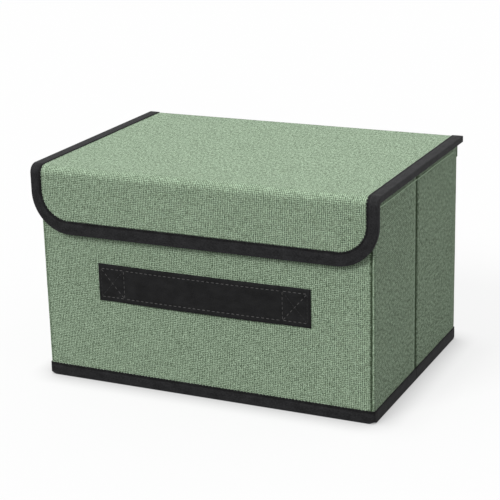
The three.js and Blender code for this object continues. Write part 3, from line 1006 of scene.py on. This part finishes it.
def lidTapeStations():
    # forward along the right edge, over the fold, round the flap's corner, along its foot to the middle,
    # then the same mirrored; round the fold the inner edge is a curve drawn by three points
    step = tapeShape["step"]
    back = between(lidBack, foldBackY, step)
    turn = np.linspace(0, quarter, 17)
    share = np.linspace(0, 1, 17)
    drop = between(foldFootZ, flapFoot + flapRadius, step)
    swing = np.linspace(0, quarter, int(flapRadius * quarter / step))
    swingX = lidHalf - flapRadius + flapRadius * np.cos(swing)
    swingZ = flapFoot + flapRadius - flapRadius * np.sin(swing)
    run = between(lidHalf - flapRadius, 0, step)
    pulls = ((1 - share) ** 2, 2 * share * (1 - share), share ** 2)
    corners = ((foldBackY, lidUnder), (flapInnerY, lidUnder), (flapInnerY, foldFootZ))
    curve = sum(pull * np.array(corner)[:, None] for pull, corner in zip(pulls, corners))
    bendY, bendZ = foldBackY - foldRadius * np.sin(turn), foldFootZ + foldRadius * np.cos(turn)
    # each part: outer edge, inner edge, angle round the flap's corner, angle over the fold, side of the box
    parts = [
        (lidHalf, back, lidTop, lidHalf, back, lidUnder, 0, 0, 1),
        (lidHalf, bendY, bendZ, lidHalf, *curve, 0, turn, 1),
        (lidHalf, flapOuterY, drop, lidHalf, flapInnerY, drop, 0, quarter, 1),
        (swingX, flapOuterY, swingZ, swingX, flapInnerY, swingZ, swing, quarter, 1),
        (run, flapOuterY, flapFoot, run, flapInnerY, flapFoot, quarter, quarter, 1),
    ]
    whole = np.concatenate([grid(*part) for part in parts])
    whole = whole[isNew(whole[:, :3])]
    whole = np.concatenate([whole, whole[-2::-1] * np.array([-1, 1, 1, -1, 1, 1, 1, 1, -1])])
    swing, turn, side = whole[:, 6:].T
    outwards = grid(side * np.cos(swing), 0, -np.sin(swing))
    leg = lidTape["sideLeg"] + (lidTape["footLeg"] - lidTape["sideLeg"]) * np.sin(swing) ** 2
    return outwards, grid(0, -np.sin(turn), np.cos(turn)), ((whole[:, :3], leg), (whole[:, 3:6], leg))


bindings = ("lid_left_binding", "lid_right_binding", "flap_binding")
sewTape("lidAndFlapTape", lidTapeStations(), lidBend, *bindings)

# the lid cloth's hem, turned down over the board's back edge
lidMiddle, lidThickness = (lidTop + lidUnder) / 2, lidTop - lidUnder
x, z = np.meshgrid(between(-lidHalf + 0.2, lidHalf - 0.2, 5.0), np.linspace(lidUnder + 0.05, lidTop - 0.05, 5))
crown = lidCloth["hemCrown"] * (1 - ((z - lidMiddle) / lidThickness * 1.6) ** 2)
outer, inner = grid(x, lidBack + crown, z), grid(x, lidBack - 0.25, z)
dress(addSlab("lidBackHem", outer, inner, (x, z), linenCloth, 60), "lid", "linen_cloth")


def addTapeTab(name, sign):
    # the tape's end turned over the lid's back corner: a thin tab, crowned in its middle, that closes it
    inside, edge = lidTape["tabInside"], lidHalf + lidTape["tabOver"]
    x, share = np.meshgrid(np.linspace(inside, edge, 5), np.sin(np.linspace(-quarter, quarter, 9)))
    z = lidMiddle + (lidThickness / 2 + lidTape["tabLap"]) * share
    crown = lidTape["tabThickness"] * (1 - 0.5 * share ** 4) * (1 - 0.5 * ((x - inside) / (edge - inside)) ** 6)
    outer, inner = grid(sign * x, lidBack + crown, z), grid(sign * x, lidBack - 0.5, z)
    return addSlab(name, outer, inner, (x, z), bindingTape, 50, wear=0.2)


for side, sign in facing.items():
    dress(addTapeTab(f"lidTapeTab_{side}", sign), "lid", "binding_tape")
print("lid and flap made")


# cloth hinge of the lid, from the back wall up over the lid's back edge
hingeCloth = {
    "thickness": 0.6, "gridStep": 4.0, "lapRadius": 0.7,
    "stitchUp": 4.0, "pitch": 3.4, "stitch": (2.2, 0.4, 0.4),
}
low, high = span("lid_hinge_cloth")
face, lap = high[1] - 0.04, hingeCloth["lapRadius"]
path = joinLines(
    between((face - 0.45, low[2]), (face, low[2] + 0.6), 0.4),
    between((face, low[2] + 0.6), (face, high[2] - lap), 2.0),
    arc((face - lap, high[2] - lap), lap, 0, quarter, 6),
)
inside = offsetLine(path, hingeCloth["thickness"])
inside[:, 0] = np.maximum(inside[:, 0], low[1] + 0.03)
x = between(low[0], high[0], hingeCloth["gridStep"])
threads = (roundTheBox("back", x), path[:, 1:])
hinge = addSlab("lidHingeCloth", swept(x, path), swept(x, inside), threads, linenCloth)
bend = ("back_wall", "lid", (0, backY, lidTop - 1.2), (0, backY, lidTop + 0.2))
dress(hinge, bend, "linen_cloth", "lid_hinge_cloth")
height = low[2] + hingeCloth["stitchUp"]
line = between((low[0] + 2, face, height), (high[0] - 2, face, height), 5.0)
row = stitchRow(line, (0, 1, 0), hingeCloth["pitch"])
dress(addStitches("lidHingeStitches", row, greenThread, hingeCloth["stitch"]), "back_wall", "linen_cloth")
print("lid hinge made")


# strap handle
strap = {
    "thickness": 1.25,
    "bulge": 0.85,  # how far the free middle stands off the wall
    "step": 0.22,  # with which it starts beside each sewn square
    "boxLength": 22.0,  # sewn square at each end
    "edgeRound": 1.1,
    "stitchIn": 3.6,  # rows along the long edges
    "stitchEnd": 2.5, "groove": 0.22,
    "quilt": 0.18,  # swelling between the stitch lines of a square
    # pitch of the stitches, and the length, width and height of one
    "pale": (4.0, (2.5, 0.5, 0.42)), "dark": (3.0, (2.3, 0.5, 0.42)),
}
strapLow, strapHigh = span("strap_handle")
strapBack = strapHigh[1]
strapMiddleZ = (strapLow[2] + strapHigh[2]) / 2
strapHalfHeight = (strapHigh[2] - strapLow[2]) / 2
strapHalfLength = strapHigh[0]


def strapRise(x, z):
    # thickness over the wall: full, rounded at the edges, grooved under the stitches and quilted between them,
    # and how far the free middle lifts off the wall
    boxLength, stitchIn, stitchEnd = strap["boxLength"], strap["stitchIn"], strap["stitchEnd"]
    fromEnd = strapHalfLength - np.abs(x)
    fromEdge = strapHalfHeight - np.abs(z - strapMiddleZ)
    edge = np.clip(np.minimum(fromEnd, fromEdge) / strap["edgeRound"], 0, 1)
    body = strap["thickness"] * (0.45 + 0.55 * rounded(edge))
    inMiddle = np.clip((fromEnd - boxLength) / (strapHalfLength - boxLength), 0, 1)
    lift = strap["bulge"] * (1 - (1 - inMiddle) ** 3)
    lift = lift + strap["step"] * np.clip((fromEnd - boxLength) / 0.8, 0, 1)
    rows = hump(fromEdge - stitchIn, 0.55)
    ends = hump(fromEnd - boxLength, 0.6) + hump(fromEnd - stitchEnd, 0.5)
    boxHalf = (boxLength - stitchEnd) / 2
    u = (fromEnd - stitchEnd - boxHalf) / boxHalf
    w = (z - strapMiddleZ) / (strapHalfHeight - stitchIn)
    inBox = np.clip((boxLength - fromEnd) * 2, 0, 1) * (np.abs(u) < 1) * (np.abs(w) < 1)
    cross = hump(np.abs(np.abs(u) - np.abs(w)), 0.07) * inBox
    quilt = strap["quilt"] * (1 - u ** 2) * (1 - w ** 2) * inBox
    return body - strap["groove"] * np.clip(rows + ends + cross, 0, 1) + quilt, lift


share = 0.35 * np.sin(np.linspace(-quarter, quarter, 33)) + 0.65 * np.linspace(-1, 1, 33)
ends = between(strapHalfLength, strapHalfLength - strap["boxLength"] - 2, 0.6)
x = np.concatenate([ends, between(ends[-1], -ends[-1], 2.0)[1:-1], -ends[::-1]])
x, z = np.meshgrid(x, strapMiddleZ + strapHalfHeight * share)
rise, lift = strapRise(x, z)
outer, inner = grid(x, strapBack - rise - lift, z), grid(x, strapBack - lift, z)
handle = addSlab("strapHandle", outer, inner, (x, z), strapWebbing, 50)
dress(handle, "front_wall", "strap_webbing", "strap_handle")


def addStrapStitches(name, lines, material, pitch, size):
    # dashes along straight lines on the strap's face, each line given by its two ends (x, z)
    rows = []
    for first, last in lines:
        count = max(1, round(math.dist(first, last) / pitch))
        share = (np.arange(count) + 0.5) / count
        runX, runZ = last[0] - first[0], last[1] - first[1]
        x, z = first[0] + runX * share, first[1] + runZ * share
        rise, lift = strapRise(x, z)
        centres = grid(x, strapBack - rise - lift - 0.05, z)
        rows.append(np.stack(np.broadcast_arrays(centres, (runX, 0, runZ), (0, -1, 0))))
    dress(addStitches(name, np.concatenate(rows, 1), material, size), "front_wall", "strap_webbing")


high, low = (strapMiddleZ + sign * (strapHalfHeight - strap["stitchIn"]) for sign in (1, -1))
end = strapHalfLength - strap["stitchEnd"]
box = strapHalfLength - strap["boxLength"]
paleLines, darkLines = [], []
for z in (high, low):
    paleLines += [((-end, z), (-box, z)), ((-box + 1.5, z), (box - 1.5, z)), ((box, z), (end, z))]
for sign in (1, -1):
    paleLines += [((sign * box, low), (sign * box, high)), ((sign * end, high), (sign * box, low))]
    darkLines += [((sign * end, low), (sign * end, high)), ((sign * end, low), (sign * box, high))]
addStrapStitches("strapStitches", paleLines, greyThread, *strap["pale"])
addStrapStitches("strapCrossStitches", darkLines, blackThread, *strap["dark"])
print("strap made")


# the boards keep their CAD shape and get the board finish
for name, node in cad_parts.items():
    if name.endswith("_board"):
        node.data.materials.clear()
        node.data.materials.append(pressedBoard)


# floor, light and camera
stageLook = {
    "floorHalf": 6.0,  # metres
    "floor": (0.24, 0.24, 0.24, 1),  # as the object's light sees it
    "paleFloor": (0.83, 0.83, 0.83, 1), "backdrop": (0.984, 0.984, 0.984, 1), "shadowDepth": 0.22,
    # painted shadow: how far from the box and how deeply the floor's seen colour is darkened near it
    "paintedShadowReach": 0.020, "paintedShadowDepth": 0.64, "worldStrength": 0.56,
    "key": (1.10, (-0.10, 0.01, 1.0), 15),  # strength, where it comes from, width in degrees
    "fill": (1.62, (-0.40, -1.0, 0.90), 22),
}
mesh = bpy.data.meshes.new("floor")
reach = stageLook["floorHalf"]
corners = [(-reach, -reach, 0), (reach, -reach, 0), (reach, reach, 0), (-reach, reach, 0)]
mesh.from_pydata(corners, [], [(0, 1, 2, 3)])
addObject("floor", mesh)


def unlit(shade):
    # one for rays that come straight from the camera or by a mirror or glass, nought for the object's light
    outs = ("Is Camera Ray", "Is Glossy Ray", "Is Transmission Ray")
    camera, glossy, through = (shade.add("ShaderNodeLightPath", {}, out) for out in outs)
    return camera.maths("MAXIMUM", camera.maths("MAXIMUM", camera, glossy), through)


paint = Shade(bpy.data.materials.new("floorPaint"))
matt = paint.add("ShaderNodeBsdfDiffuse", {"Color": stageLook["floor"]})
pale = paint.add("ShaderNodeBsdfDiffuse", {"Color": stageLook["paleFloor"]})
# painted contact shadow: the backdrop seen by the camera is darkened by ambient occlusion near the box
near = paint.add("ShaderNodeAmbientOcclusion", {"Distance": stageLook["paintedShadowReach"]}, "AO", samples=16)
paintedContactShadow = paint.mix((1 - near) * stageLook["paintedShadowDepth"], stageLook["backdrop"], (0, 0, 0, 1))
bright = paint.add("ShaderNodeEmission", {"Color": paintedContactShadow, "Strength": 1.0})
shown = paint.add("ShaderNodeMixShader", {0: stageLook["shadowDepth"], 1: bright, 2: pale})
surface = paint.add("ShaderNodeMixShader", {0: unlit(paint), 1: matt, 2: shown})
paint.add("ShaderNodeOutputMaterial", {"Surface": surface})
mesh.materials.append(paint.block)

sky = Shade(bpy.data.worlds.new("studio"))
bpy.context.scene.world = sky.block
lit = sky.add("ShaderNodeBackground", {"Color": (1, 1, 1, 1), "Strength": stageLook["worldStrength"]})
seen = sky.add("ShaderNodeBackground", {"Color": stageLook["backdrop"], "Strength": 1.0})
sky.add("ShaderNodeOutputWorld", {"Surface": sky.add("ShaderNodeMixShader", {0: unlit(sky), 1: lit, 2: seen})})

for name in ("key", "fill"):
    strength, (x, y, z), width = stageLook[name]
    lamp = bpy.data.lights.new(name, "SUN")
    lamp.energy = strength
    lamp.angle = math.radians(width)
    addObject(name, lamp).rotation_euler = (0, math.atan2(math.hypot(x, y), z), math.atan2(y, x))

viewpoint = {
    "focal": 1559.0,  # in pixels of a picture 500 wide
    "azimuth": 25.12, "elevation": 17.61, "roll": -1.43,
    "distance": 1230.0,  # millimetres from the box's middle
    "middle": 85.0, "across": -3.9, "up": 3.55,
}
azimuth, elevation, roll = (math.radians(viewpoint[key]) for key in ("azimuth", "elevation", "roll"))
cosine = math.cos(elevation)
back = np.array([math.sin(azimuth) * cosine, -math.cos(azimuth) * cosine, math.sin(elevation)])
right = unit(np.cross([0, 0, 1], back))
up = np.cross(back, right)
right, up = math.cos(roll) * right + math.sin(roll) * up, -math.sin(roll) * right + math.cos(roll) * up
place = back * viewpoint["distance"] + np.array([0, 0, viewpoint["middle"]])
place = place + right * viewpoint["across"] + up * viewpoint["up"]
lens = bpy.data.cameras.new("camera")
lens.sensor_width = 36.0
lens.lens = viewpoint["focal"] * lens.sensor_width / 500
lens.clip_start, lens.clip_end = 0.05, 50.0
camera = addObject("camera", lens)
matrix = np.eye(4)
matrix[:3] = grid(right, up, back, place * toMetres)
camera.matrix_world = Matrix(matrix.tolist())
bpy.context.scene.camera = camera
bpy.context.scene.view_settings.view_transform = "Standard"
print("stage made")
